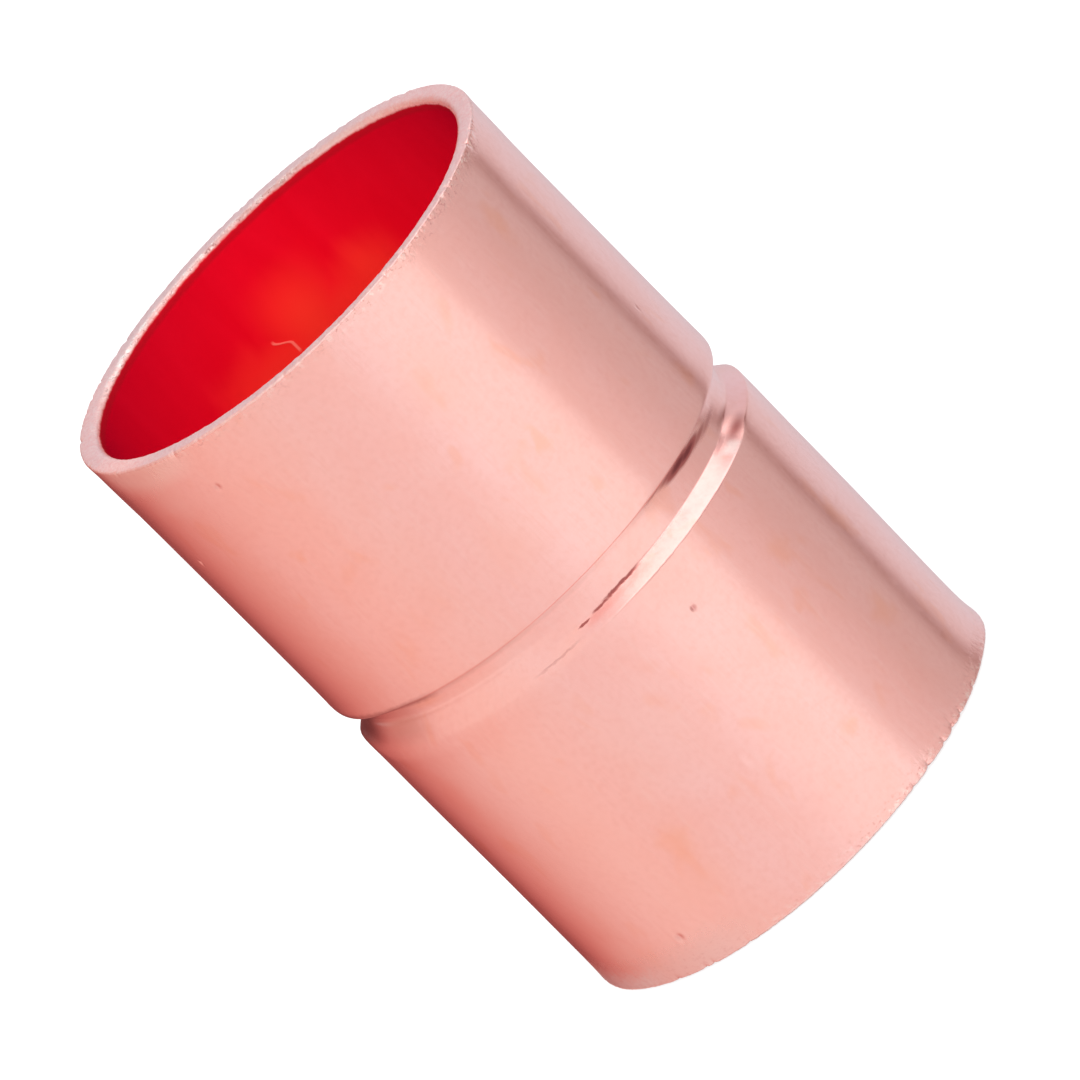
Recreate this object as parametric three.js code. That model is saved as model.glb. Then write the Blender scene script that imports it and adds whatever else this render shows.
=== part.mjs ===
// Copper capillary coupling: a plain straight joint for two lengths of
// 22 mm copper tube.
//
// It is one piece of copper tube with a plain socket at each end. Halfway
// along, a groove rolled round the outside pushes the wall inwards, and the
// bead it raises in the bore is the stop that both tubes butt against.
//
// Frame: the origin is the centre of the rolled stop, on the axis.
// +Z runs along the axis, out of one of the two equal sockets.
// Millimetres.

import * as THREE from 'three';

// ---- driving dimensions ----------------------------------------------------

const TUBE_D = 22.0;          // outside diameter of the tube each socket takes
const CAPILLARY_GAP = 0.10;   // socket bore minus tube, on the diameter
const WALL = 1.03;            // socket wall thickness
const LENGTH = 35.5;          // overall, rim to rim

const GROOVE_MOUTH = 2.50;    // axial width of the groove at the outer surface
const GROOVE_FLOOR = 1.30;    // axial width of its flat floor
const GROOVE_DEPTH = 0.70;    // radial depth
const GROOVE_WALL = 0.93;     // wall under the floor, thinned by rolling

const BEAD_BASE = 3.40;       // axial width of the bead where it leaves the bore
const BEAD_CREST = 1.30;      // axial width of its crest

// Radii of the rounded corners, before each is cut into facets.
const SHOULDER_ROUND = 0.28;    // groove's outer shoulders
const FLOOR_ROUND = 0.35;       // foot of the groove's flanks
const BEAD_FOOT_ROUND = 0.50;   // where the bead leaves the bore
const BEAD_CREST_ROUND = 0.60;  // bead's crest

const INNER_BREAK = 0.32;     // chamfer at each mouth, inside
const OUTER_BREAK = 0.18;     // broken edge at each mouth, outside

const ROUND_STEPS = 3;        // facets along each rounded corner
const SEGMENTS = 96;          // facets round the axis

// ---- derived ---------------------------------------------------------------

const BORE_R = (TUBE_D + CAPILLARY_GAP) / 2;
const OUTER_R = BORE_R + WALL;
const HALF = LENGTH / 2;
const FLOOR_R = OUTER_R - GROOVE_DEPTH;
const CREST_R = FLOOR_R - GROOVE_WALL;

// ---- profile ---------------------------------------------------------------

// Wall section as a closed loop of [radius, height along the axis, rounding];
// a rounding of 0 leaves the corner sharp.
const WALL_CORNERS = [
  // outside, from the lower rim up
  [OUTER_R - OUTER_BREAK, -HALF, 0],
  [OUTER_R, -HALF + OUTER_BREAK, 0],
  [OUTER_R, -GROOVE_MOUTH / 2, SHOULDER_ROUND],
  [FLOOR_R, -GROOVE_FLOOR / 2, FLOOR_ROUND],
  [FLOOR_R, GROOVE_FLOOR / 2, FLOOR_ROUND],
  [OUTER_R, GROOVE_MOUTH / 2, SHOULDER_ROUND],
  [OUTER_R, HALF - OUTER_BREAK, 0],
  [OUTER_R - OUTER_BREAK, HALF, 0],
  // inside, from the upper rim down
  [BORE_R + INNER_BREAK, HALF, 0],
  [BORE_R, HALF - INNER_BREAK, 0],
  [BORE_R, BEAD_BASE / 2, BEAD_FOOT_ROUND],
  [CREST_R, BEAD_CREST / 2, BEAD_CREST_ROUND],
  [CREST_R, -BEAD_CREST / 2, BEAD_CREST_ROUND],
  [BORE_R, -BEAD_BASE / 2, BEAD_FOOT_ROUND],
  [BORE_R, -HALF + INNER_BREAK, 0],
  [BORE_R + INNER_BREAK, -HALF, 0],
];

// Points of the arc that touches both edges meeting at a corner.
function cornerArc(previous, corner, next, rounding) {
  const toPrevious = previous.clone().sub(corner).normalize();
  const toNext = next.clone().sub(corner).normalize();
  const halfAngle = toPrevious.angleTo(toNext) / 2;
  const tangentLength = rounding / Math.tan(halfAngle);
  const bisector = toPrevious.clone().add(toNext).normalize();
  const centre = corner.clone().addScaledVector(bisector, rounding / Math.sin(halfAngle));

  const angleOfTangentPoint = (direction) => {
    const spoke = corner.clone().addScaledVector(direction, tangentLength).sub(centre);
    return Math.atan2(spoke.y, spoke.x);
  };
  const start = angleOfTangentPoint(toPrevious);
  let sweep = angleOfTangentPoint(toNext) - start;
  // Take the short way round where the arc crosses the ±180° line.
  if (sweep > Math.PI) sweep -= 2 * Math.PI;
  if (sweep < -Math.PI) sweep += 2 * Math.PI;

  return Array.from({ length: ROUND_STEPS + 1 }, (_, step) => {
    const angle = start + (sweep * step) / ROUND_STEPS;
    return new THREE.Vector2(
      centre.x + rounding * Math.cos(angle),
      centre.y + rounding * Math.sin(angle),
    );
  });
}

// Outline with its rounded corners cut into arcs, closed on its first point.
function roundedOutline(corners) {
  const points = corners.map(([radius, height]) => new THREE.Vector2(radius, height));
  const count = points.length;
  const outline = corners.flatMap(([, , rounding], i) => {
    if (rounding === 0) return [points[i]];
    const previous = points[(i + count - 1) % count];
    const next = points[(i + 1) % count];
    return cornerArc(previous, points[i], next, rounding);
  });
  return [...outline, outline[0].clone()];
}

// ---- material --------------------------------------------------------------

const copper = new THREE.MeshStandardMaterial({
  name: 'annealed_copper',
  color: 0xe9a596,
  metalness: 1.0,
  roughness: 0.38,
});

// ---- body ------------------------------------------------------------------

function makeBody() {
  const geometry = new THREE.LatheGeometry(roundedOutline(WALL_CORNERS), SEGMENTS);
  geometry.rotateX(Math.PI / 2); // the lathe turns about Y; lay its axis on Z
  const body = new THREE.Mesh(geometry, copper);
  body.name = 'coupling_body';
  return body;
}

const coupling = new THREE.Group();
coupling.add(makeBody());

export default coupling;
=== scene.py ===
"""A copper tube coupling with a rolled stop groove round its middle.

The tube stands on the Z axis, centred on the origin. The front is -Y, the right +X.
Angles go round the axis in degrees, 0 at the front and 90 at the right. Lengths are
in millimetres unless a comment says metres. The mesh itself is in metres.
"""

import math
from types import SimpleNamespace

import bmesh
import bpy
import numpy as np
from mathutils import Matrix, Vector


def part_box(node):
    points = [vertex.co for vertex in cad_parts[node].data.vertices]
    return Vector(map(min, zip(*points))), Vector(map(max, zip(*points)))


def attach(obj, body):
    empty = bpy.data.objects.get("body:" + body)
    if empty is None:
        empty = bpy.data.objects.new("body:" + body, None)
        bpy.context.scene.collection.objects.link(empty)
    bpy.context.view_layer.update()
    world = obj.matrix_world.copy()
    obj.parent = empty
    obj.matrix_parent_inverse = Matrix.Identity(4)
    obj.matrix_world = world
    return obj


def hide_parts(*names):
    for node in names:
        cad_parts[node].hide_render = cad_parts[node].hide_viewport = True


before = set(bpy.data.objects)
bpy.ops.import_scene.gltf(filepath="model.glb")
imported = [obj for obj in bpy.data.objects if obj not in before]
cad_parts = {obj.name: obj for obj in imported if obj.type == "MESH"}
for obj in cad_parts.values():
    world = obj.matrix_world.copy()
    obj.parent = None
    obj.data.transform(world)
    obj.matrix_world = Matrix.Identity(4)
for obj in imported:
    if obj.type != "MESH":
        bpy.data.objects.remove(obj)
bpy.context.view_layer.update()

# ---------------------------------------------------------------------------
# Main dimensions, read from the CAD solid
# ---------------------------------------------------------------------------

NODE = "coupling_body"
MM = 1000.0         # millimetres in a metre
lo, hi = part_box(NODE)
OUTER_R = (hi.x - lo.x) / 2 * MM
HALF = (hi.z - lo.z) / 2 * MM

cad_points = np.empty(len(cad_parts[NODE].data.vertices) * 3)
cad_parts[NODE].data.vertices.foreach_get("co", cad_points)
cad_points = cad_points.reshape(-1, 3) * MM
cad_r = np.hypot(cad_points[:, 0], cad_points[:, 1])
cad_z = np.abs(cad_points[:, 2])
middle_r = cad_r[cad_z < 0.7]
BORE_R = float(cad_r[(cad_z > 4) & (cad_z < HALF - 0.2)].min())
CREST_R = float(middle_r.min())     # crest of the bead inside the bore
FLOOR_R = float(middle_r[middle_r > (CREST_R + OUTER_R) / 2].min())    # floor of the groove
GROOVE_DEPTH = OUTER_R - FLOOR_R
BEAD_FOOT = 1.75    # half the width of the bead where it leaves the bore
BEAD_CREST = 0.62   # half the width of its flat crest, before rounding

# ---------------------------------------------------------------------------
# Repeatable value noise on an integer lattice, and soft steps and bells
# ---------------------------------------------------------------------------


def hashed(ix, iy, iz, seed):
    """A number from -1 to 1 for each lattice point."""
    h = (ix * 374761393 + iy * 668265263 + iz * 2147483647 + seed * 1274126177) & 0xFFFFFFFF
    h = ((h ^ (h >> 13)) * 1103515245) & 0xFFFFFFFF
    h = ((h ^ (h >> 16)) * 2246822519) & 0xFFFFFFFF
    return ((h ^ (h >> 15)) & 0xFFFFFF) / float(0xFFFFFF) * 2.0 - 1.0


def value_noise(x, y, z, seed):
    ix, iy, iz = (np.floor(v).astype(np.int64) for v in (x, y, z))
    fx, fy, fz = (f * f * f * (f * (f * 6 - 15) + 10) for f in (x - ix, y - iy, z - iz))
    total = 0.0
    for dx in (0, 1):
        for dy in (0, 1):
            for dz in (0, 1):
                weight = (fx if dx else 1 - fx) * (fy if dy else 1 - fy) * (fz if dz else 1 - fz)
                total = total + weight * hashed(ix + dx, iy + dy, iz + dz, seed)
    return total


def fractal(x, y, z, seed, octaves=3):
    total, gain = 0.0, 1.0
    for k in range(octaves):
        total = total + gain * value_noise(x * 2 ** k, y * 2 ** k, z * 2 ** k, seed + 17 * k)
        gain *= 0.5
    return total / 1.75


def ease(value, zero, one):
    """Smooth step, 0 where value is at zero and 1 where it is at one."""
    t = np.clip((value - zero) / (one - zero), 0, 1)
    return t * t * (3 - 2 * t)


def hump(value, centre, width, power=2):
    """One at the centre, falling away on both sides. A power of 4 is flatter on top."""
    return np.exp(-((value - centre) / width) ** power)


def angle_gap(a, b):
    return (a - b + 180.0) % 360.0 - 180.0


def arc(deg, centre, width, power=2):
    """A hump round the tube."""
    return hump(angle_gap(deg, centre), 0.0, width, power)


# ---------------------------------------------------------------------------
# Profile: a closed outline of rings (radius, z, points round the axis)
# ---------------------------------------------------------------------------

FINE, MID, COARSE = 1440, 720, 360      # rims, groove, plain walls

# The lower wall of the groove takes three courses round the tube, each given
# as (height above the floor, distance below the middle): a ledge and an even
# bevel at the front right, a long easy ramp at the left, and a short crisp
# wall at the right and behind.
LOWER_WALL = [
    ((0.0, 0.25), (0.12, 0.10), (0.0, 0.25)),
    ((0.0, 0.48), (0.20, 0.23), (0.0, 0.38)),
    ((0.0, 0.615), (0.265, 0.36), (0.004, 0.45)),
    ((0.005, 0.660), (0.325, 0.48), (0.020, 0.50)),
    ((0.022, 0.698), (0.385, 0.60), (0.055, 0.545)),
    ((0.055, 0.736), (0.44, 0.72), (0.115, 0.60)),
    ((0.16, 0.842), (0.485, 0.84), (0.190, 0.67)),
    ((0.30, 0.980), (0.525, 0.97), (0.300, 0.78)),
    ((0.46, 1.138), (0.56, 1.11), (0.43, 0.91)),
    ((GROOVE_DEPTH - 0.100, 1.276), (0.59, 1.25), (0.55, 1.03)),
    ((GROOVE_DEPTH - 0.050, 1.322), (0.62, 1.39), (GROOVE_DEPTH - 0.065, 1.11)),
    ((GROOVE_DEPTH - 0.020, 1.356), (0.645, 1.53), (GROOVE_DEPTH - 0.026, 1.15)),
    ((GROOVE_DEPTH - 0.005, 1.395), (0.668, 1.66), (GROOVE_DEPTH - 0.007, 1.185)),
    ((GROOVE_DEPTH, 1.45), (0.688, 1.79), (GROOVE_DEPTH, 1.24)),
]
# The left and the rear courses of each ring, by its front radius and z.
WALL_COURSES = {(FLOOR_R + front[0], -front[1]): (ramp, steep)
                for front, ramp, steep in LOWER_WALL}
WALL_COURSES[(OUTER_R, -1.62)] = ((GROOVE_DEPTH, 1.95), (GROOVE_DEPTH, 1.55))
WALL_COURSES[(OUTER_R, -1.9)] = ((GROOVE_DEPTH, 2.12), (GROOVE_DEPTH, 1.85))

# (distance inside the outer wall, z)
UPPER_SHOULDER = [(0.32, 1.005), (0.13, 1.045), (0.055, 1.066), (0.020, 1.092),
                  (0.004, 1.13), (0, 1.19), (0, 1.35)]
# (distance inside the outer wall, distance below the end)
OUTER_RIM = [(0, 0.62), (0, 0.40), (0, 0.24), (0.006, 0.11), (0.028, 0.048),
             (0.070, 0.012), (0.135, 0), (0.30, 0), (0.50, 0)]
# (distance outside the bore wall, distance below the end)
INNER_RIM = [(0.30, 0.006), (0.20, 0.045), (0.11, 0.12), (0.035, 0.22), (0, 0.33)]
OUTER_WALL_Z = [2.4, 3.4, 4.8, 6.4, 8.0, 9.6, 11.2, 12.8, 14.2, 15.4, 16.2, HALF - 0.95]
BORE_WALL_Z = [HALF - 0.85, HALF - 1.5, 14.6, 12.4, 10.0, 7.6, 5.2, 3.4, 2.6]


def arc_corner(before, corner, after, radius, steps):
    """Points of the arc that rounds a corner between its two neighbours."""
    before, corner, after = (np.array(v, float) for v in (before, corner, after))
    to_before = (before - corner) / np.linalg.norm(before - corner)
    to_after = (after - corner) / np.linalg.norm(after - corner)
    half = math.acos(float(np.clip(to_before @ to_after, -1, 1))) / 2
    bisector = (to_before + to_after) / np.linalg.norm(to_before + to_after)
    centre = corner + bisector * radius / math.sin(half)
    first = corner + to_before * radius / math.tan(half) - centre
    last = corner + to_after * radius / math.tan(half) - centre
    start = math.atan2(first[1], first[0])
    sweep = math.atan2(last[1], last[0]) - start
    sweep = (sweep + math.pi) % (2 * math.pi) - math.pi
    return [(centre[0] + radius * math.cos(start + sweep * k / steps),
             centre[1] + radius * math.sin(start + sweep * k / steps)) for k in range(steps + 1)]


def floor_rise(z):
    """Radius of the groove floor, which rises a little towards the upper wall."""
    return FLOOR_R + 0.20 * (max(z - 0.05, 0.0)) ** 2


def half_outline(upper):
    """Rings of one half, from the middle of the groove, along the outside,
    over the rim and back through the bore to the crest of the bead."""
    rings = [(FLOOR_R, 0.0, MID)]
    if upper:
        # the rising floor, then a steep flank and a crisp shoulder
        rings += [(floor_rise(z), z, MID) for z in (0.16, 0.32, 0.48, 0.62, 0.74, 0.84)]
        rings += [(floor_rise(0.84) + 0.022, 0.915, MID), (floor_rise(0.84) + 0.080, 0.965, MID)]
        rings += [(OUTER_R - inset, z, MID) for inset, z in UPPER_SHOULDER]
    else:
        rings += [(FLOOR_R + front[0], front[1], MID) for front, _, _ in LOWER_WALL]
    rings += [(OUTER_R, z, MID) for z in (1.62, 1.9)]
    rings += [(OUTER_R, z, COARSE) for z in OUTER_WALL_Z]
    rings += [(OUTER_R - inset, HALF - drop, FINE) for inset, drop in OUTER_RIM]
    rings += [(BORE_R + outset, HALF - drop, FINE) for outset, drop in INNER_RIM]
    rings += [(BORE_R, z, COARSE) for z in BORE_WALL_Z]
    foot, crest = (BORE_R, BEAD_FOOT), (CREST_R, BEAD_CREST)
    bead = arc_corner((BORE_R, 5), foot, crest, radius=0.55, steps=4)
    bead += arc_corner(foot, crest, (CREST_R, 0), radius=0.70, steps=4)
    rings += [(radius, z, COARSE) for radius, z in bead]
    rings += [(CREST_R, 0.0, COARSE)]
    return rings


# The lower half is walked the other way, without the two rings both halves share.
profile = half_outline(True)
profile += [(radius, -z, count) for radius, z, count in reversed(half_outline(False)[1:-1])]

# ---------------------------------------------------------------------------
# Wear
# ---------------------------------------------------------------------------

rng = np.random.default_rng(22)

# nicks in the outer rims: (angle, width, depth)
TOP_NICKS = [
    (-47.0, 0.35, 0.10), (-39.0, 0.22, 0.06), (-13.5, 0.40, 0.10), (-9.0, 0.2, 0.06),
    (7.0, 0.30, 0.07), (17.5, 0.55, 0.09), (24.0, 0.25, 0.06), (44.0, 0.30, 0.07),
    (60.0, 0.40, 0.09), (66.0, 0.25, 0.06), (-70.0, 0.3, 0.05)]
BOTTOM_NICKS = [
    (21.0, 0.30, 0.08), (27.0, 0.45, 0.12), (34.0, 0.25, 0.09), (38.5, 0.50, 0.13),
    (43.0, 0.30, 0.12), (52.0, 0.3, 0.06), (-30.0, 0.4, 0.06), (-8.0, 0.25, 0.04)]
for _ in range(26):
    for nicks, first, last in ((TOP_NICKS, 75, 285), (BOTTOM_NICKS, 60, 320)):
        nicks.append((rng.uniform(first, last), rng.uniform(0.15, 0.5), rng.uniform(0.03, 0.09)))

# pits in the skin: (angle, z, radius, depth). A negative depth stands proud.
PITS = [(13.8, -3.85, 0.16, 0.085), (-42.5, -15.7, 0.22, 0.07), (-2.2, -10.8, 0.26, -0.020),
        (-44.5, 15.2, 0.18, 0.05), (63.0, 6.1, 0.12, 0.03), (118.0, 9.4, 0.16, 0.05),
        (171.0, -7.2, 0.20, 0.06), (208.0, 4.4, 0.14, 0.05), (236.0, -12.3, 0.22, 0.05),
        (287.0, 11.6, 0.15, 0.04), (150.0, 13.2, 0.18, 0.04)]


class Ring:
    """One ring of points. radius and z are its place in the perfect profile;
    radii and heights are where the worn part has its points."""

    def __init__(self, radius, z, count):
        self.radius, self.z = radius, z
        self.phi = np.arange(count) * (2 * math.pi / count)
        self.deg = np.degrees(self.phi)
        self.x, self.y = radius * np.sin(self.phi), -radius * np.cos(self.phi)
        self.radii = np.full_like(self.phi, radius)
        self.heights = np.full_like(self.phi, z)
        self.outer = radius > (OUTER_R + BORE_R) / 2
        self.up = 1.0 if z > 0 else -1.0
        self.end_gap = HALF - abs(z)

    def waves(self, across, along, seed, octaves):
        """Noise with wavelengths in mm, at the heights the points have now."""
        return fractal(self.x / across, self.y / across, self.heights / along, seed, octaves)

    def tooth(self, across, along, seed, octaves=3):
        """Noise with frequencies per mm, at the ring's perfect place."""
        return fractal(self.x * across, self.y * across, self.z * along, seed, octaves)

    def points(self):
        return np.stack([self.radii * np.sin(self.phi), -self.radii * np.cos(self.phi),
                         self.heights], 1)


def bend_lower_wall(ring):
    """Moves the lower wall of the groove between its three courses."""
    if (ring.radius, ring.z) not in WALL_COURSES:
        return
    ramp, steep = WALL_COURSES[(ring.radius, ring.z)]
    left = ease(ring.deg, 262, 288) * ease(ring.deg, 358, 336)
    rest = ease(ring.deg, 54, 63) * ease(ring.deg, 288, 262)
    for share, (height, drop) in ((left, ramp), (rest, steep)):
        ring.radii += share * (FLOOR_R + height - ring.radius)
        ring.heights += share * (-drop - ring.z)
    # behind, the wheel ran a little lower
    ring.heights -= 0.30 * ease(ring.deg, 93, 110) * ease(ring.deg, 267, 250)


def mark_groove(ring):
    if not ring.outer or abs(ring.z) >= 2.4:
        return
    # the wheel dug in under the upper shoulder over a short arc
    ring.radii -= 0.05 * arc(ring.deg, 43.0, 6.5) * hump(ring.z, 0.66, 0.20)
    # the metal folded where the lower flank begins
    ring.radii -= 0.07 * arc(ring.deg, 6.0, 8.0, power=4) * hump(ring.z, -0.70, 0.07)
    # the upper shoulder hangs a little lower at the left
    hang = hump(ring.z, 1.12, 0.30) * arc(ring.deg, -73.0, 14.0)
    ring.heights -= 0.11 * hang
    ring.radii += 0.06 * hang


def swell_walls(ring):
    """Rolling swelled the wall beside the groove and left it not quite straight or round."""
    z, height = ring.z, abs(ring.z)
    past_groove = ease(height, 0.9, 1.4)
    if z > 0:
        ring.radii += 0.035 * math.exp(-max(height - 1.3, 0.0) / 1.5) * past_groove
        ring.radii += 0.045 * ease(ring.end_gap, 4.2, 1.6)
    else:
        ring.radii += (0.015 + 0.050 * math.exp(-max(height - 1.3, 0.0) / 7.0)) * past_groove
    # sideways shift: the upper half to the left, the lower half mostly to the right
    lean = -0.02 * math.tanh(z) - (0.0048 * max(height - 1.5, 0.0) if z < 0 else 0.0)
    lean += 0.045 * hump(z, -8.5, 4.5) + 0.018 * hump(z, -2.5, 1.5)
    ring.radii += lean * np.sin(ring.phi)
    # a swelling low on the left side
    ring.radii += 0.036 * hump(z, -7.5, 3.8) * np.clip(-np.sin(ring.phi), 0, 1) ** 2
    # two-lobed and three-lobed out-of-round, and a slight waviness
    ring.radii += (0.012 * np.cos(2 * (ring.phi - 0.6)) + 0.006 * np.cos(3 * ring.phi + 1.3)
                   + 0.0045 * ring.waves(5.5, 9.0, seed=3, octaves=2))


def flare_end(ring):
    """The cut pushes the corners outwards."""
    near_end = math.exp(-ring.end_gap / 0.5)
    if not ring.outer:
        ring.radii += 0.015 * near_end
    elif ring.up > 0:
        ring.radii += 0.070 * near_end * (1 + 0.25 * np.sin(ring.phi * 2 + 0.8))
    else:
        ring.radii += (0.070 + 0.040 * np.sin(ring.phi)) * near_end


def drag_lower_end(ring):
    """The saw pulled the lower end out at the two sides."""
    drag = hump(ring.end_gap, 0.0, 0.75)
    pull = arc(ring.deg, 78.0, 11.0) + arc(ring.deg, -78.0, 11.0)
    ring.radii += (0.075 + 0.035 * np.sin(ring.phi)) * drag * pull
    ring.heights -= (0.035 + 0.02 * np.sin(ring.phi)) * drag * pull
    ring.heights += 0.02 * drag * arc(ring.deg, -53.0, 10.0)


def thin_upper_rim(ring):
    """The flat of the upper rim is narrower over a broad arc at the front."""
    front = arc(ring.deg, 20.0, 46.0, power=4)
    if ring.outer and ring.radius < OUTER_R - 0.2:
        ring.radii += (0.19 if ring.radius < OUTER_R - 0.4 else 0.05) * front
    elif ring.outer and ring.end_gap < 0.06:
        ring.heights -= 0.045 * front * ease(OUTER_R - ring.radius, 0.0, 0.14)
    elif not ring.outer and ring.end_gap < 0.3:
        ring.radii += 0.25 * ease(ring.end_gap, 0.28, 0.08) * front


def nick_sum(deg, nicks):
    total = np.zeros_like(deg)
    for angle, width, depth in nicks:
        x = angle_gap(deg, angle) * math.pi / 180 * OUTER_R / (width * 0.5)
        total = total + depth * np.exp(-x ** 4) * (0.7 + 0.3 * np.cos(5 * x))
    return total


def cut_end(ring):
    """Saw marks, nicks and burrs on the last millimetre."""
    if ring.end_gap >= 1.0:
        return
    deg, up = ring.deg, ring.up
    seed = 41 if up > 0 else 57
    fade = ease(ring.end_gap, 1.0, 0.1)
    if up > 0:
        ring.heights -= 0.095 * fade * arc(deg, 207.0, 48.0)    # cut lower behind
        thin_upper_rim(ring)
    else:
        drag_lower_end(ring)
    # cut not quite square, plus saw tooth roughness
    ring.heights += up * fade * (0.022 * np.cos(ring.phi + 2.2)
                                 + 0.012 * np.cos(3 * ring.phi + 0.4))
    edge = hump(ring.end_gap, 0.02, 0.22)
    rough = ring.tooth(2.6, 1.3, seed)
    fine = ring.tooth(7.0, 3.0, seed + 5, octaves=2)
    ring.heights += up * edge * (0.022 * rough + 0.014 * fine)
    if ring.outer:
        corner = hump(max(OUTER_R - ring.radius, 0.0), 0.0, 0.22) * hump(ring.end_gap, 0.0, 0.26)
        nick = nick_sum(deg, TOP_NICKS if up > 0 else BOTTOM_NICKS)
        chip = ring.tooth(4.6, 2.0, seed + 21)
        crowd = 1.0 + (1.6 * arc(deg, 45.0, 32.0, power=4) if up > 0 else 0.0)
        bite = crowd * (0.030 * np.clip(chip, 0, 1) + 0.012 * rough)
        ring.radii += edge * 0.008 * fine - corner * (nick * 0.8 + bite)
        ring.heights -= up * corner * (nick * 0.8 + bite * 0.7)
    else:
        # torn burr along the inner lip, heaviest over an arc behind
        lip = hump(ring.radius - BORE_R, 0.16, 0.16) * hump(ring.end_gap, 0.0, 0.30)
        heavy = 0.40 + 0.60 * arc(deg, -155.0, 34.0, power=4)
        burr = ring.tooth(3.4, 5.0, seed + 9)
        spikes = ring.tooth(6.0, 9.0, seed + 13, octaves=2)
        ring.radii -= lip * heavy * (0.065 * burr + 0.035 * spikes)
        ring.heights += up * lip * heavy * (0.050 * np.abs(spikes)
                                            - 0.045 * np.clip(burr, -1, 0))


def roughen_middle(ring):
    z = ring.z
    if ring.outer and abs(z) < 2.2:
        # the rolling wheel left the groove a little uneven
        band = hump(z, 0.0, 1.5, power=4)
        ring.radii += band * 0.010 * ring.waves(1.6, 0.9, seed=71, octaves=3)
        ring.heights += band * 0.030 * fractal(ring.x / 4.2, ring.y / 4.2, 0.0, 77, 2)
        # drag marks on the lower flank
        marks = fractal(ring.x * 1.8, ring.y * 1.8, ring.heights * 6.0, 83, 2)
        ring.radii += hump(z, -1.0, 0.35) * 0.008 * marks
    if not ring.outer and abs(z) < 2.4:
        ring.radii += 0.02 * ring.waves(2.0, 1.2, seed=91, octaves=2)


def worn_points(radius, z, count):
    ring = Ring(radius, z, count)
    for wear in (bend_lower_wall, mark_groove, swell_walls, flare_end, cut_end, roughen_middle):
        wear(ring)
    return ring.points()


# ---------------------------------------------------------------------------
# Body mesh
# ---------------------------------------------------------------------------


def bridge(start_a, count_a, start_b, count_b):
    """Faces between two rings. Where the counts differ, each coarse point fans out."""
    if count_a == count_b:
        return [(start_a + k, start_a + (k + 1) % count_a,
                 start_b + (k + 1) % count_b, start_b + k) for k in range(count_a)]
    growing = count_b > count_a
    ends = [(start_a, count_a), (start_b, count_b)]
    (coarse, coarse_count), (fine, fine_count) = ends if growing else reversed(ends)
    ratio = fine_count // coarse_count
    faces = []
    for k in range(coarse_count):
        here, ahead = coarse + k, coarse + (k + 1) % coarse_count
        row = [fine + (k * ratio + q) % fine_count for q in range(ratio + 1)]
        for q in range(ratio):
            if q == ratio // 2:
                faces.append((here, ahead, row[q]) if growing else (ahead, here, row[q]))
            apex = here if q < ratio // 2 else ahead
            faces.append((apex, row[q + 1], row[q]) if growing else (apex, row[q], row[q + 1]))
    return faces


def body_mesh():
    verts = np.concatenate([worn_points(*ring) for ring in profile])
    counts = [count for _, _, count in profile]
    starts = [sum(counts[:i]) for i in range(len(counts))]
    faces = []
    for i in range(len(profile)):
        j = (i + 1) % len(profile)
        faces += bridge(starts[i], counts[i], starts[j], counts[j])
    mesh = bpy.data.meshes.new("coupling_copper")
    mesh.from_pydata((verts / MM).tolist(), [], faces)
    mesh.update()
    return mesh


def pit_centre(angle, z):
    """A point on the outer wall, in metres."""
    a = math.radians(angle)
    return Vector((OUTER_R * math.sin(a), -OUTER_R * math.cos(a), z)) / MM


def refine(bm, centre, radius, cuts):
    edges = [e for e in bm.edges
             if ((e.verts[0].co + e.verts[1].co) / 2 - centre).length < radius / MM]
    if edges:
        bmesh.ops.subdivide_edges(bm, edges=edges, cuts=cuts, use_grid_fill=True)


def press_pit(bm, angle, z, radius, depth):
    """Presses a round pit with a faint raised lip into the outer wall."""
    centre = pit_centre(angle, z)
    refine(bm, centre, 1.3, cuts=4)
    refine(bm, centre, radius * 1.9, cuts=2)
    for v in bm.verts:
        if (v.co - centre).length >= 0.004:
            continue
        from_axis = math.hypot(v.co.x, v.co.y) * MM
        if from_axis < OUTER_R - 0.3:
            continue
        turn = math.degrees(math.atan2(v.co.x, -v.co.y))
        across = angle_gap(turn, angle) * math.pi / 180 * OUTER_R
        along = v.co.z * MM - z
        reach = math.hypot(across * 1.15, along * 0.9) / radius
        if reach > 3.2:
            continue
        drop = depth * (math.exp(-reach * reach * 1.6)
                        - 0.10 * math.exp(-((reach - 1.7) / 0.5) ** 2))
        scale = (from_axis - drop) / from_axis
        v.co.x *= scale
        v.co.y *= scale


def press_pits(mesh):
    bm = bmesh.new()
    bm.from_mesh(mesh)
    for pit in PITS:
        press_pit(bm, *pit)
    # the faces round each refined patch have points along their sides: split
    # them well, so that no sliver is left
    centres = [pit_centre(angle, z) for angle, z, _, _ in PITS]
    ragged = [f for f in bm.faces if len(f.verts) > 3
              and any((f.calc_center_median() - c).length < 0.003 for c in centres)]
    split = bmesh.ops.triangulate(bm, faces=ragged, quad_method="BEAUTY", ngon_method="BEAUTY")
    bmesh.ops.beautify_fill(bm, faces=split["faces"], edges=split["edges"], method="ANGLE")
    bmesh.ops.recalc_face_normals(bm, faces=bm.faces)
    bm.to_mesh(mesh)
    bm.free()
    for polygon in mesh.polygons:
        polygon.use_smooth = True
    mesh.update()


mesh = body_mesh()
press_pits(mesh)
body = bpy.data.objects.new("coupling_copper", mesh)
bpy.context.scene.collection.objects.link(body)
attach(body, "root")
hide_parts(NODE)

# ---------------------------------------------------------------------------
# Shader helpers: a Value is a node output, and arithmetic on it adds nodes
# ---------------------------------------------------------------------------


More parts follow.
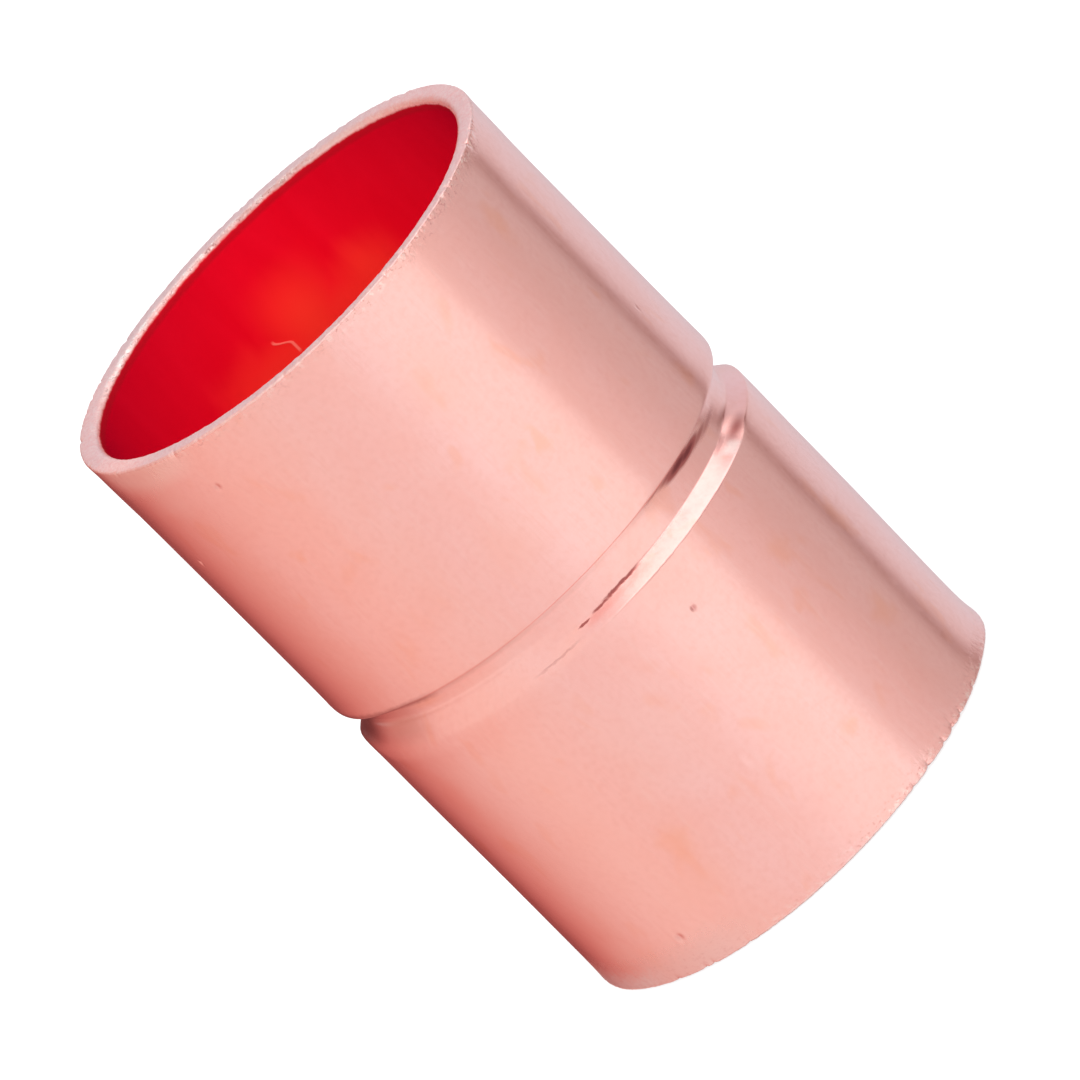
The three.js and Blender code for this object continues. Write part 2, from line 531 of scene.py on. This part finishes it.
class Value:
    def __init__(self, socket):
        self.socket = socket

    def __add__(self, other):
        return calc("ADD", self, other)

    def __radd__(self, other):
        return calc("ADD", other, self)

    def __sub__(self, other):
        return calc("SUBTRACT", self, other)

    def __rsub__(self, other):
        return calc("SUBTRACT", other, self)

    def __mul__(self, other):
        return calc("MULTIPLY", self, other)

    def __truediv__(self, other):
        return calc("DIVIDE", self, other)

    def __abs__(self):
        return calc("ABSOLUTE", self)


def fill(node, inputs):
    """Links each input that is given a Value, and sets the others."""
    for key, value in inputs.items():
        socket = node.inputs[key]
        if isinstance(value, Value):
            node.id_data.links.new(value.socket, socket)
        elif socket.type == "RGBA":
            socket.default_value = (*value, 1.0)
        else:
            socket.default_value = value


def add_node(tree, kind, **settings):
    count = len(tree.nodes)
    node = tree.nodes.new(kind)
    node.location = (180 * (count % 12), -220 * (count // 12))
    for key, value in settings.items():
        setattr(node, key, value)
    return node


def node_value(kind, inputs, output=0, **settings):
    """Output of a new node, in the tree of the Values that feed it."""
    tree = next(v.socket.id_data for v in inputs.values() if isinstance(v, Value))
    node = add_node(tree, kind, **settings)
    fill(node, inputs)
    return Value(node.outputs[output])


def calc(operation, *terms):
    return node_value("ShaderNodeMath", dict(enumerate(terms)), operation=operation)


def vector_math(operation, *terms, output="Vector"):
    return node_value("ShaderNodeVectorMath", dict(enumerate(terms)), output,
                      operation=operation)


def most(first, *others):
    for other in others:
        first = calc("MAXIMUM", first, other)
    return first


def step(value, zero, one):
    """Smooth step, 0 where value is at zero and 1 where it is at one."""
    return node_value("ShaderNodeMapRange", {"Value": value, "From Min": zero, "From Max": one},
                      interpolation_type="SMOOTHSTEP")


def spread(value, low, high, start=0.3, end=0.7):
    """Maps start..end, by default the useful range of a noise, to low..high."""
    return node_value("ShaderNodeMapRange", {"Value": value, "From Min": start, "From Max": end,
                                             "To Min": low, "To Max": high})


def bell(value, centre, half, flat=0.0):
    """One at centre, falling to nothing half away from it. flat is the share
    of half that stays at one."""
    return step(abs(value - centre), half, half * flat)


def noise(vector, scale, detail=3.0, rough=0.6, distortion=0.0, squeeze=None, output=0):
    """squeeze scales the pattern along Z: below 1 draws features out along the tube."""
    if squeeze is not None:
        vector = vector_math("MULTIPLY", vector, (1.0, 1.0, squeeze))
    return node_value("ShaderNodeTexNoise", {
        "Vector": vector, "Scale": scale, "Detail": detail, "Roughness": rough,
        "Distortion": distortion}, output, noise_dimensions="3D")


def mix(amount, under, over):
    return node_value("ShaderNodeMix", {0: amount, 6: under, 7: over}, 2, data_type="RGBA")


def paint(base, *layers):
    """Lays (amount, colour) layers over a base colour."""
    for amount, colour in layers:
        base = mix(amount, base, colour)
    return base


def cleared_tree(owner):
    owner.use_nodes = True
    owner.node_tree.nodes.clear()
    return owner.node_tree


def coordinates(tree, output):
    return Value(add_node(tree, "ShaderNodeTexCoord").outputs[output])


def split_xyz(vector):
    node = add_node(vector.socket.id_data, "ShaderNodeSeparateXYZ")
    fill(node, {0: vector})
    return [Value(socket) for socket in node.outputs]


# ---------------------------------------------------------------------------
# Copper in three conditions: the pickled skin outside, the bare cut rims and the
# bore, painted deep red for light bounced between its walls
# ---------------------------------------------------------------------------

# Heat tints: (angle, z, half size across, half size along)
ORANGE = [(39, -5.7, 1.0, 1.2), (48, -11.6, 1.2, 1.3), (61, -7.5, 0.9, 1.4),
          (48, 14.6, 0.9, 1.6), (-42.5, 10.1, 0.6, 0.8), (16, 7.0, 0.5, 1.3),
          (57, 2.7, 0.9, 1.2), (20, -13.4, 0.9, 0.7), (-25, -11.5, 1.1, 1.5)]
WARM = [(-3, 4.8, 3.0, 2.6), (-30, -14.0, 2.6, 1.8), (8, 12.5, 2.0, 3.0),
        (150, 6.0, 3.0, 4.0), (215, -8.0, 4.0, 3.0), (110, -9.0, 2.5, 3.0)]
# Spots of painted shade in the groove:
# (angle, z, half size across, half size along, core, radius from the axis, strength)
SLIT_SPOTS = [(34.0, 0.74, 1.7, 0.24, 0.1, FLOOR_R + 0.1, 0.50),
              (38.0, 0.62, 2.0, 0.34, 0.1, FLOOR_R + 0.1, 0.92),
              (42.5, 0.52, 2.0, 0.33, 0.1, FLOOR_R + 0.1, 0.92),
              (48.5, 0.38, 2.2, 0.27, 0.1, FLOOR_R + 0.1, 0.42),
              (54.5, 0.23, 2.4, 0.26, 0.1, FLOOR_R + 0.1, 0.30)]
SHADE_SPOTS = [(-90, 0.30, 3.8, 0.95, 0.25, FLOOR_R + 0.2, 0.97),
               (58.5, -1.03, 1.6, 0.36, 0.05, OUTER_R - 0.25, 0.85),
               (61.5, -0.45, 1.5, 0.30, 0.05, FLOOR_R + 0.1, 0.35)]
# Bands of painted shade in the groove, as two bells: (angle, half, flat), (z, half, flat),
# strength
SLIT_BANDS = [((29.0, 9.5, 0.2), (0.84, 0.14, 0.2), 0.32)]
FOLD_BANDS = [((7.0, 8.0, 0.3), (-0.70, 0.12, 0.15), 0.62),
              ((0.0, 3.5, 0.4), (-0.75, 0.07, 0.3), 0.5),
              ((22.0, 18.0, 0.5), (-0.69, 0.08, 0.2), 0.14),
              ((-5.5, 2.4, 0.4), (-0.80, 0.05, 0.3), 0.5)]
UPPER_SHADE = [((0.0, 34.0, 0.6), (0.80, 0.26, 0.2), 0.08),
               ((-34.0, 22.0, 0.5), (0.90, 0.34, 0.2), 0.17),
               ((-64.0, 24.0, 0.5), (0.92, 0.46, 0.3), 0.60),
               ((-72.0, 22.0, 0.5), (0.10, 1.50, 0.4), 0.20)]
LOWER_SHADE = [((52.0, 6.0, 0.3), (-0.76, 0.13, 0.35), 0.30),
               ((-15.0, 8.0, 0.3), (-1.12, 0.08, 0.2), 0.25),
               ((26.0, 20.0, 0.6), (-1.40, 0.06, 0.2), 0.22)]


def spot(where, angle, z, across, along, core=0.15, radius=OUTER_R):
    """A soft round patch, full inside its core share and gone at its half sizes."""
    a = math.radians(angle)
    away = vector_math("SUBTRACT", where, (radius * math.sin(a), -radius * math.cos(a), z))
    away = vector_math("MULTIPLY", away, (1 / across, 1 / across, 1 / along))
    return step(vector_math("LENGTH", away, output="Value"), zero=1.0, one=core)


def spots(where, rows):
    return [spot(where, *row) for row in rows]


def graded_spots(where, rows):
    return [spot(where, *place) * strength for *place, strength in rows]


def bands(deg, z, rows):
    return [bell(deg, *angles) * bell(z, *heights) * strength
            for angles, heights, strength in rows]


def copper_places(tree):
    """Where a point lies on the tube, and the masks and patterns shared below."""
    at = SimpleNamespace()
    at.mm = vector_math("MULTIPLY", coordinates(tree, "Object"), (MM, MM, MM))
    x, y, at.z = split_xyz(at.mm)
    at.radius = calc("SQRT", x * x + y * y)
    at.height = abs(at.z)
    at.deg = calc("ARCTAN2", x, y * -1.0) * (180 / math.pi)
    # angle from the rear, positive towards the left
    at.rear = calc("ARCTAN2", x * -1.0, y) * (180 / math.pi)
    at.depth = HALF - at.height         # distance in from the nearer end

    # the same place pushed about a little, for ragged stains and a ragged painted reflection
    warp = noise(at.mm, scale=0.9, rough=0.5, output="Color")
    drift = vector_math("MULTIPLY_ADD", warp, (1.6, 1.6, 1.6), (-0.8, -0.8, -0.8))
    at.drifted = vector_math("ADD", at.mm, drift)

    wobble = spread(noise(at.mm, scale=2.2), -0.03, 0.03)
    at.inner = step(at.radius, zero=BORE_R + 0.21, one=BORE_R + 0.15)
    at.bore = step(at.depth + wobble, zero=0.17, one=0.33) * at.inner
    end_face = step(at.height + wobble, zero=HALF - 0.16, one=HALF - 0.07)
    lip = (step(at.height, zero=HALF - 0.6, one=HALF - 0.5)
           * step(at.radius, zero=OUTER_R - 0.20, one=OUTER_R - 0.30))
    at.rim = most(end_face, lip) * (1.0 - at.bore)

    at.mottle = noise(at.mm, scale=3.2)
    at.streak = noise(at.mm, scale=5.5, squeeze=0.10)
    return at


def skin_colour(at):
    """Pink copper, clouded and streaked, with heat tints, pickling stains and a painted
    reflection near the ends on the left.
    """
    cloud = noise(at.mm, scale=0.26, rough=0.55, distortion=0.4, squeeze=0.7)
    patch = noise(at.mm, scale=0.62, detail=2.0, rough=0.5, distortion=0.3, squeeze=0.55)
    hair = noise(at.mm, scale=9.0, detail=2.0, rough=0.7, squeeze=0.045)
    hairlines = step(hair, zero=0.54, one=0.70) * step(cloud, zero=0.40, one=0.62)
    orange = most(*spots(at.drifted, ORANGE),
                  spot(at.mm, angle=27, z=-0.45, across=0.8, along=0.35) * 0.9,
                  spot(at.mm, angle=-50, z=0.45, across=1.8, along=0.40))
    ruddy = spot(at.drifted, angle=-65, z=-4.3, across=1.4, along=2.2)
    low_left = step(at.z, zero=-2.0, one=-3.6) * bell(at.deg, centre=-47.0, half=22.0, flat=0.35)
    # paler low on the left and in a faint patch low at the front; the two spots near the ends on
    # the left are painted reflection
    pale_and_end_reflection = most(low_left * 0.55,
                spot(at.drifted, angle=-62, z=15.4, across=2.6, along=1.6),
                spot(at.drifted, angle=-62, z=-15.4, across=2.6, along=1.6),
                spot(at.drifted, angle=-12, z=-7.0, across=3.0, along=5.0) * 0.4)
    base = mix(spread(cloud, 0.0, 1.0), (0.980, 0.520, 0.472), (0.985, 0.560, 0.528))
    return paint(
        base,
        (step(patch, zero=0.60, one=0.74) * 0.55, (0.975, 0.470, 0.372)),
        (step(at.mottle, zero=0.42, one=0.72) * 0.26, (0.950, 0.468, 0.420)),
        (step(at.streak, zero=0.50, one=0.72) * 0.22, (0.99, 0.61, 0.57)),
        (hairlines * 0.22, (0.940, 0.455, 0.415)),
        (orange * 0.55, (0.975, 0.462, 0.345)),
        (most(*spots(at.drifted, WARM)) * 0.22, (0.985, 0.505, 0.410)),
        (ruddy * 0.5, (0.955, 0.440, 0.390)),
        (pale_and_end_reflection * 0.55, (0.990, 0.640, 0.600)))


def paint_groove_light_and_pits(at, base):
    """Painted shade in the groove's slit, fold and recesses, painted light on the lower bevel
    and upper flank, and the darker pits. Returns the colour and the crease shade.
    """
    fray = noise(at.mm, scale=2.6, squeeze=2.0)
    frayed_z = at.z + spread(fray, -0.035, 0.035)
    # painted shade: dark in the slit under the upper shoulder and in the fold, where shadow
    # falls; also rougher and matte
    slit = most(*graded_spots(at.mm, SLIT_SPOTS), *bands(at.deg, frayed_z, SLIT_BANDS))
    fold = most(*bands(at.deg, frayed_z, FOLD_BANDS))
    crease_shade = most(slit, fold) * (1.0 - at.inner)
    # soft brown shade under the shoulder and at the ends of the lower bevel
    shade = most(*bands(at.deg, frayed_z, UPPER_SHADE), *graded_spots(at.mm, SHADE_SPOTS),
                 *bands(at.deg, frayed_z, LOWER_SHADE))
    shade = shade * (1.0 - at.inner)
    # painted shade: the left end of the groove darkened deep in its notch under the shoulder
    far_left_notch_shade = spot(at.mm, angle=-104, z=-0.25, across=7.2, along=1.75, core=0.42,
                    radius=FLOOR_R + 0.2) * (1.0 - at.inner)
    # painted highlight: the tip of the lower bevel lightened where the lamp's reflection runs
    # out
    bevel_tip_highlight = (bell(at.deg, centre=51.5, half=3.8, flat=0.3)
                 * bell(frayed_z, centre=-1.17, half=0.28, flat=0.3) * (1.0 - at.inner))
    # painted light: the steep upper flank under the shoulder made paler against the dark red of
    # its double reflection
    upper_flank_lightening = bell(at.z, centre=0.99, half=0.10, flat=0.5) * (1.0 - at.inner)

    def speck(pit, across, along):
        angle, z = PITS[pit][:2]
        return spot(at.mm, angle, z, across, along, core=0.2)

    specks = most(speck(0, across=0.24, along=0.22), speck(1, across=0.40, along=0.30) * 0.6,
                  speck(3, across=0.35, along=0.25) * 0.5)
    base = paint(
        base,
        (step(crease_shade, zero=0.0, one=0.55), (0.42, 0.130, 0.120)),
        (step(crease_shade, zero=0.35, one=1.0), (0.105, 0.025, 0.026)),
        (shade, (0.30, 0.070, 0.064)),
        (far_left_notch_shade * 0.90, (0.13, 0.020, 0.019)),
        (bevel_tip_highlight * (1.0 - shade) * 0.65, (1.0, 0.84, 0.79)),
        (upper_flank_lightening * 0.6, (0.97, 0.74, 0.70)),
        (specks * 0.45, (0.62, 0.20, 0.19)))
    return base, crease_shade


def wear_and_edge_light(at, base):
    """Pale flecks and darker dents by the two outer edges, a scuff low on the left with a
    painted highlight along its end, and a painted reflection near the upper end on the left.
    Returns the colour, the flecks, the band they lie in and the scuff."""
    flecks = noise(at.mm, scale=2.7, rough=0.7)
    dents = noise(at.mm, scale=4.4, rough=0.7, squeeze=1.4)
    ragged_depth = at.depth + spread(flecks, -0.25, 0.25)
    low_left = (bell(at.deg, centre=-66.0, half=46.0, flat=0.55)
                * step(at.z, zero=-1.0, one=-3.0))
    band = step(ragged_depth, zero=0.95, one=0.15) * (1.0 - low_left * 0.85)
    handled = most(bell(at.deg, centre=34.0, half=46.0, flat=0.6),
                   bell(at.deg, centre=-62.0, half=44.0, flat=0.5) * 0.6, 0.45)
    scuff = low_left * step(ragged_depth, zero=2.4, one=0.5)
    # painted highlight: the last millimetre of the scuff lightened, as bare metal catching the
    # light
    scuff_edge_highlight = (scuff * bell(at.deg, centre=-78.0, half=26.0, flat=0.5)
                  * step(ragged_depth, zero=1.35, one=0.25))
    # painted reflection: lighter near the upper end on the left
    top_left_reflection = spot(at.mm, angle=-62, z=17.3, across=4.6, along=1.5, core=0.3)
    base = paint(
        base,
        (band * handled * step(flecks, zero=0.54, one=0.66) * 0.75, (1.00, 0.80, 0.74)),
        (band * handled * step(dents, zero=0.55, one=0.68) * 0.60, (0.66, 0.22, 0.20)),
        (scuff * 0.65, (0.87, 0.60, 0.58)),
        (scuff_edge_highlight * 0.85, (0.88, 0.76, 0.77)),
        (top_left_reflection * 0.70, (1.00, 0.74, 0.69)),
        (scuff * step(dents, zero=0.50, one=0.70) * 0.22, (0.66, 0.26, 0.24)))
    return base, flecks, band, scuff


def rim_colour(at):
    """Bare cut metal, torn along the inner edge behind, with painted glints there."""
    grit = noise(at.mm, scale=9.0, rough=0.7, squeeze=1.0)
    blots = noise(at.mm, scale=1.9)
    torn = noise(at.mm, scale=3.2, rough=0.7)
    holes = noise(at.mm, scale=3.9, rough=0.7, squeeze=1.3)
    # painted glints: pale specks on the inner edge behind, where the burrs catch the light
    glint = (step(torn, zero=0.50, one=0.60)
             * bell(at.radius, centre=BORE_R + 0.22, half=0.30, flat=0.3)
             * bell(at.rear, centre=14.0, half=52.0, flat=0.5))
    pricks = (step(holes, zero=0.54, one=0.64)
              * bell(at.radius, centre=BORE_R + 0.10, half=0.20, flat=0.4)
              * bell(at.rear, centre=16.0, half=50.0, flat=0.5))
    torn_edge = (bell(at.radius, centre=BORE_R + 0.10, half=0.20, flat=0.5)
                 * bell(at.rear, centre=6.0, half=46.0, flat=0.4))
    base = mix(step(grit, zero=0.34, one=0.66), (0.96, 0.565, 0.540), (1.0, 0.715, 0.675))
    return paint(
        base,
        (step(blots, zero=0.50, one=0.68) * 0.5, (0.98, 0.525, 0.485)),
        (bell(at.rear, centre=0.0, half=62.0, flat=0.5) * 0.5, (0.80, 0.640, 0.635)),
        (glint * 0.9, (1.0, 0.92, 0.88)),
        (pricks * 0.85, (0.22, 0.045, 0.045)),
        (torn_edge * step(blots, zero=0.66, one=0.42) * 0.75, (0.64, 0.33, 0.31)))


def bore_colour(at):
    """The bore's copper painted deep red for light bounced between its walls, with painted light
    in brighter bands further in, painted shade at the sides and by the mouth, and a scratched
    line painted bright. Returns the colour and the mask of the scratched line.
    """
    cloud = noise(at.mm, scale=0.55, rough=0.5, distortion=0.6, squeeze=0.25)
    # painted shade: the bore darker where its walls turn away towards the sides
    turned_away_shade = spread(abs(at.rear + 3.0), 0.0, 1.0, start=8.0, end=84.0)
    # painted shade: darker towards the mouth
    mouth_shade = spread(at.depth, 0.32, 0.0, start=0.6, end=6.0)
    late = step(at.depth + spread(cloud, -0.5, 0.5), zero=3.7, one=6.2)
    # painted light: brighter orange bands further in, where light falls deep in the bore
    lit_bands = most(
        bell(at.rear, centre=-18.0, half=15.0) * late * 0.80,
        bell(at.rear, centre=1.0, half=15.0) * step(at.depth, zero=2.2, one=5.8) * 0.95,
        bell(at.rear, centre=22.0, half=16.0) * late * 0.55,
        bell(at.rear, centre=0.0, half=34.0, flat=0.5)
        * step(at.depth, zero=4.6, one=6.6) * 0.72)
    lit_bands = lit_bands * step(at.depth, zero=13.0, one=8.0)
    # a short bent scratch at the rear of the upper bore, cut in a little and painted bright as a
    # highlight
    scratch_line = 8.0 + step(at.depth, zero=6.2, one=5.5) * 3.6
    scratch_and_glint = (step(abs(at.rear - scratch_line), zero=0.55, one=0.15)
               * bell(at.depth, centre=6.1, half=0.75, flat=0.7)
               * step(at.z, zero=0.0, one=1.0))
    # painted inter-reflection: the bore's copper given the deep red of light bounced many times
    # between its walls
    base = mix(spread(cloud, 0.0, 1.0), (0.86, 0.002, 0.014), (0.92, 0.004, 0.019))
    base = paint(
        base,
        (turned_away_shade, (0.36, 0.001, 0.011)),
        (mouth_shade, (0.0, 0.0, 0.006)),
        # painted shadow: a dark line just under the lip
        (bell(at.depth, centre=0.42, half=0.34, flat=0.3) * 0.42, (0.16, 0.006, 0.008)),
        (lit_bands, (0.93, 0.034, 0.021)),
        (scratch_and_glint * 0.8, (1.0, 0.22, 0.17)))
    return base, scratch_and_glint


def copper_material():
    mat = bpy.data.materials.new("annealed_copper_skin")
    tree = cleared_tree(mat)
    out = add_node(tree, "ShaderNodeOutputMaterial")
    bsdf = add_node(tree, "ShaderNodeBsdfPrincipled")
    fill(out, {0: Value(bsdf.outputs[0])})

    at = copper_places(tree)
    skin, crease_shade = paint_groove_light_and_pits(at, skin_colour(at))
    skin, flecks, band, scuff = wear_and_edge_light(at, skin)
    bore, scratch_and_glint = bore_colour(at)
    colour = paint(skin, (at.rim, rim_colour(at)), (at.bore, bore))

    worn = most(scuff * 0.8, spot(at.mm, angle=-70, z=17.6, across=4.0, along=2.4))
    rough = (0.205 + spread(at.mottle, -0.025, 0.035)
             + spread(at.streak, -0.012, 0.03, start=0.35)
             + at.rim * 0.13 + at.bore * 0.22 + crease_shade * 0.35
             + worn * (1.0 - at.bore) * 0.22)
    # the bore, painted deep red for its inter-reflections, and the painted crease shade scatter
    # more than the drawn skin does
    matt = most(at.bore * 0.87, step(crease_shade, zero=0.3, one=1.0) * 0.93)

    # surface relief, each pattern times its height in mm
    lines = noise(at.mm, scale=11.0, rough=0.65, squeeze=0.018)
    peel = noise(at.mm, scale=1.5, rough=0.55, squeeze=0.6)
    grain = noise(at.mm, scale=22.0, detail=2.0)
    teeth = noise(at.mm, scale=13.0, rough=0.75)
    relief = (lines * 0.00045 + peel * 0.0030 + grain * 0.00012 + teeth * at.rim * 0.030
              + flecks * band * 0.030 + scratch_and_glint * 0.010)
    fill(bsdf, {
        "Base Color": colour,
        "Roughness": rough,
        "Metallic": 1.0 - matt,
        "Specular IOR Level": 0.0,
        # the bore's reflections tinted red too, part of its painted inter-reflection
        "Specular Tint": mix(at.bore, (1.0, 1.0, 1.0), (1.0, 0.10, 0.14)),
        "Normal": node_value("ShaderNodeBump",
                             {"Strength": 1.0, "Distance": 0.001, "Height": relief}),
    })
    return mat


mesh.materials.append(copper_material())

# ---------------------------------------------------------------------------
# Floor, in metres
# ---------------------------------------------------------------------------

FLOOR_HALF = 6.0
FLOOR_GAP = 0.00006     # the floor lies just under the tube


def paper_material():
    mat = bpy.data.materials.new("floor_paper")
    mat.use_nodes = True
    where = coordinates(mat.node_tree, "Object")

    def fibres(dark, light):
        return mix(noise(where, scale=900.0, detail=2.0, rough=0.5), (dark,) * 3, (light,) * 3)

    fill(mat.node_tree.nodes["Principled BSDF"], {
        "Base Color": fibres(dark=0.155, light=0.17),
        "Emission Color": fibres(dark=0.99, light=1.0),
        "Emission Strength": 0.80,
        "Roughness": 0.9,
        "Specular IOR Level": 0.0,
    })
    return mat


floor_mesh = bpy.data.meshes.new("floor")
floor_mesh.from_pydata([(x * FLOOR_HALF, y * FLOOR_HALF, lo.z - FLOOR_GAP)
                        for x, y in ((-1, -1), (1, -1), (1, 1), (-1, 1))], [], [(0, 1, 2, 3)])
floor = bpy.data.objects.new("floor", floor_mesh)
bpy.context.scene.collection.objects.link(floor)
floor.visible_glossy = False
floor_mesh.materials.append(paper_material())

# ---------------------------------------------------------------------------
# Studio: a pale tent all round. Low down it is brightest at the front right,
# darker at the right, and warm and dim at the rear left; above it is open and
# pale. One large soft lamp hangs overhead, to the right and a little in front.
# ---------------------------------------------------------------------------

# tent colour by height: (angle, colour)
LOW = [
    (-180, (0.42, 0.22, 0.22)), (-176, (0.30, 0.085, 0.080)), (-160, (0.290, 0.066, 0.063)),
    (-146, (0.554, 0.182, 0.162)), (-133, (0.707, 0.324, 0.281)), (-114, (0.826, 0.528, 0.466)),
    (-99, (0.897, 0.669, 0.609)), (-87, (0.937, 0.730, 0.657)), (-70, (0.966, 0.803, 0.737)),
    (-45, (0.959, 0.873, 0.821)), (-26, (0.967, 0.906, 0.882)), (-8, (0.998, 0.940, 0.904)),
    (3, (1.033, 1.051, 1.044)), (16, (1.103, 1.142, 1.113)), (46, (1.128, 1.180, 1.142)),
    (51, (1.065, 1.077, 1.049)), (54.5, (0.883, 0.823, 0.789)), (66, (0.853, 0.796, 0.767)),
    (76, (0.785, 0.728, 0.704)), (88, (0.696, 0.646, 0.621)), (108, (0.653, 0.645, 0.630)),
    (113, (0.600, 0.580, 0.565)), (116, (0.335, 0.212, 0.195)), (119, (0.340, 0.220, 0.205)),
    (124, (0.736, 0.720, 0.729)), (134, (0.789, 0.835, 0.877)), (152, (0.769, 0.796, 0.855)),
    (168, (0.700, 0.680, 0.730)), (177, (0.66, 0.58, 0.62)), (180, (0.42, 0.22, 0.22))]
MIDDLE = [
    (-180, (0.80, 0.84, 0.93)), (-152, (0.72, 0.52, 0.52)), (-128, (0.71, 0.40, 0.33)),
    (-100, (0.95, 0.75, 0.68)), (-84, (0.99, 0.86, 0.79)), (-60, (1.0, 0.92, 0.86)),
    (0, (0.98, 0.95, 0.93)), (60, (1.0, 1.0, 1.0)), (108, (0.95, 0.96, 0.98)),
    (115, (0.30, 0.19, 0.18)), (123, (0.28, 0.17, 0.16)), (129, (0.72, 0.70, 0.71)),
    (150, (0.76, 0.79, 0.87)), (180, (0.80, 0.84, 0.93))]
HIGH = [
    (-180, (0.85, 0.80, 0.80)), (-128, (0.93, 0.74, 0.68)), (-100, (0.955, 0.79, 0.73)),
    (-62, (0.98, 0.93, 0.88)), (0, (1.0, 0.97, 0.94)), (90, (1.0, 1.0, 1.0)),
    (180, (0.85, 0.80, 0.80))]


def round_tent(fraction, stops):
    """Colour ramp round the tent, where fraction runs 0..1 over -180..180 degrees."""
    node = add_node(fraction.socket.id_data, "ShaderNodeValToRGB")
    fill(node, {0: fraction})
    elements = node.color_ramp.elements
    elements.remove(elements[-1])
    for i, (angle, colour) in enumerate(stops):
        position = (angle + 180) / 360
        element = elements.new(position) if i else elements[0]
        element.position = position
        element.color = (*colour, 1.0)
    return Value(node.outputs[0])


def background(tree, colour, strength):
    node = add_node(tree, "ShaderNodeBackground")
    fill(node, {0: colour, 1: strength})
    return Value(node.outputs[0])


def build_world():
    world = bpy.data.worlds.new("studio_tent")
    bpy.context.scene.world = world
    tree = cleared_tree(world)
    out = add_node(tree, "ShaderNodeOutputWorld")
    x, y, z = split_xyz(coordinates(tree, "Generated"))
    turn = calc("ARCTAN2", x, y * -1.0)
    fraction = turn / (2 * math.pi) + 0.5
    low, middle, high = (round_tent(fraction, stops) for stops in (LOW, MIDDLE, HIGH))
    # at the rear right the high part reaches further down
    opening = (step(turn, zero=math.radians(98), one=math.radians(108))
               * step(turn, zero=math.radians(140), one=math.radians(128))
               * step(z, zero=0.40, one=0.55))
    tent = paint(low,
                 (step(z, zero=-0.02, one=0.20), middle),
                 (most(step(z, zero=0.45, one=0.78), opening), high),
                 (step(z, zero=0.90, one=0.99), (0.96, 0.94, 0.93)))
    reflected = background(tree, tent, strength=1.0)
    diffuse = background(tree, (1, 1, 1), strength=2.60)    # what lights the floor
    seen = background(tree, (1, 1, 1), strength=1.02)       # past the floor's edge
    path = add_node(tree, "ShaderNodeLightPath")
    shader = reflected
    for ray, other in (("Is Diffuse Ray", diffuse), ("Is Camera Ray", seen)):
        shader = node_value("ShaderNodeMixShader",
                            {0: Value(path.outputs[ray]), 1: shader, 2: other})
    fill(out, {0: shader})


build_world()

KEY_SIDE = 0.66         # metres, square
KEY_DISTANCE = 0.60     # metres from the origin
KEY_RADIANCE = 0.75
KEY_DIRECTION = Vector((0.590, -0.16, 0.791)).normalized()

lamp = bpy.data.lights.new("key_softbox", "AREA")
lamp.shape = "RECTANGLE"
lamp.size = lamp.size_y = KEY_SIDE
lamp.energy = KEY_RADIANCE * math.pi * KEY_SIDE * KEY_SIDE
lamp.color = (1.0, 0.985, 0.965)
key = bpy.data.objects.new("key_softbox", lamp)
key.location = KEY_DIRECTION * KEY_DISTANCE
key.rotation_mode = "QUATERNION"
key.rotation_quaternion = (-KEY_DIRECTION).to_track_quat("-Z", "Y")
bpy.context.scene.collection.objects.link(key)

# ---------------------------------------------------------------------------
# Camera: a long lens in front and above, rolled so that the tube axis runs
# from upper left to lower right
# ---------------------------------------------------------------------------

ELEVATION = math.radians(18.30)
ROLL = math.radians(44.8753733)
DISTANCE_IN_RADII = 48.0    # camera distance over the outer radius
LENS = 418.4896             # focal length, mm

cam_data = bpy.data.cameras.new("camera")
cam = bpy.data.objects.new("camera", cam_data)
bpy.context.scene.collection.objects.link(cam)
cam_data.sensor_fit = "AUTO"
cam_data.sensor_width = 36.0
cam_data.lens = LENS
cam_data.clip_start = 0.05
cam_data.clip_end = 20.0
cam_data.shift_x = 0.005648000
cam_data.shift_y = -0.001820770
to_camera = Vector((0, -math.cos(ELEVATION), math.sin(ELEVATION)))
cam.location = to_camera * (DISTANCE_IN_RADII * OUTER_R / MM)
cam.rotation_mode = "QUATERNION"
# a clockwise turn of the camera turns the picture anticlockwise
cam.rotation_quaternion = ((-to_camera).to_track_quat("-Z", "Y")
                           @ Matrix.Rotation(-ROLL, 4, "Z").to_quaternion())
bpy.context.scene.camera = cam

# ---------------------------------------------------------------------------
# Render look
# ---------------------------------------------------------------------------

scene = bpy.context.scene
scene.view_settings.view_transform = "Standard"
scene.view_settings.look = "None"
scene.view_settings.exposure = 0.0
scene.view_settings.gamma = 1.0
scene.cycles.max_bounces = 16
scene.cycles.glossy_bounces = 14
scene.cycles.diffuse_bounces = 8
scene.cycles.sample_clamp_indirect = 4.0
